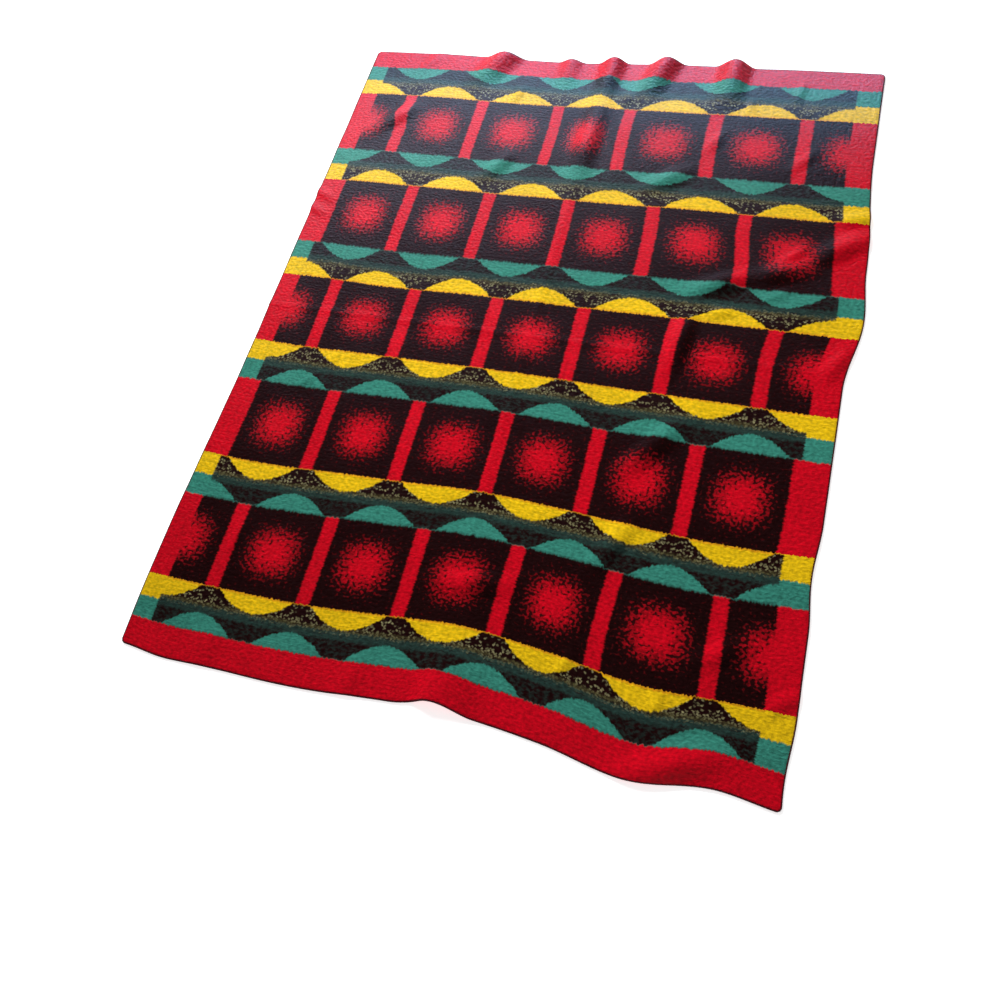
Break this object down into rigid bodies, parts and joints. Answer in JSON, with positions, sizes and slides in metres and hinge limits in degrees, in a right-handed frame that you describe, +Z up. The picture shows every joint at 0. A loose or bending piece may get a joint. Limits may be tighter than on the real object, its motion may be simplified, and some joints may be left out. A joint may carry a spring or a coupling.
{
  "type": "throw blanket",
  "caption": "Rectangular woven throw blanket laid out flat with soft ripples and creases, bordered geometric pattern in red, black, green and yellow.",
  "frame": {"origin": "centre of the blanket's outline, on the surface it lies on", "axes": "+X across the blanket, +Y along its length towards the far end, +Z up"},
  "size_m": [1.3348, 1.7084, 0.0282],
  "materials": {
    "blanket_cloth": "napped jacquard weave, matt, with an overlocked edge"
  },
  "bodies": {
    "root": {"blanket": "blanket_cloth"}
  },
  "joints": []
}
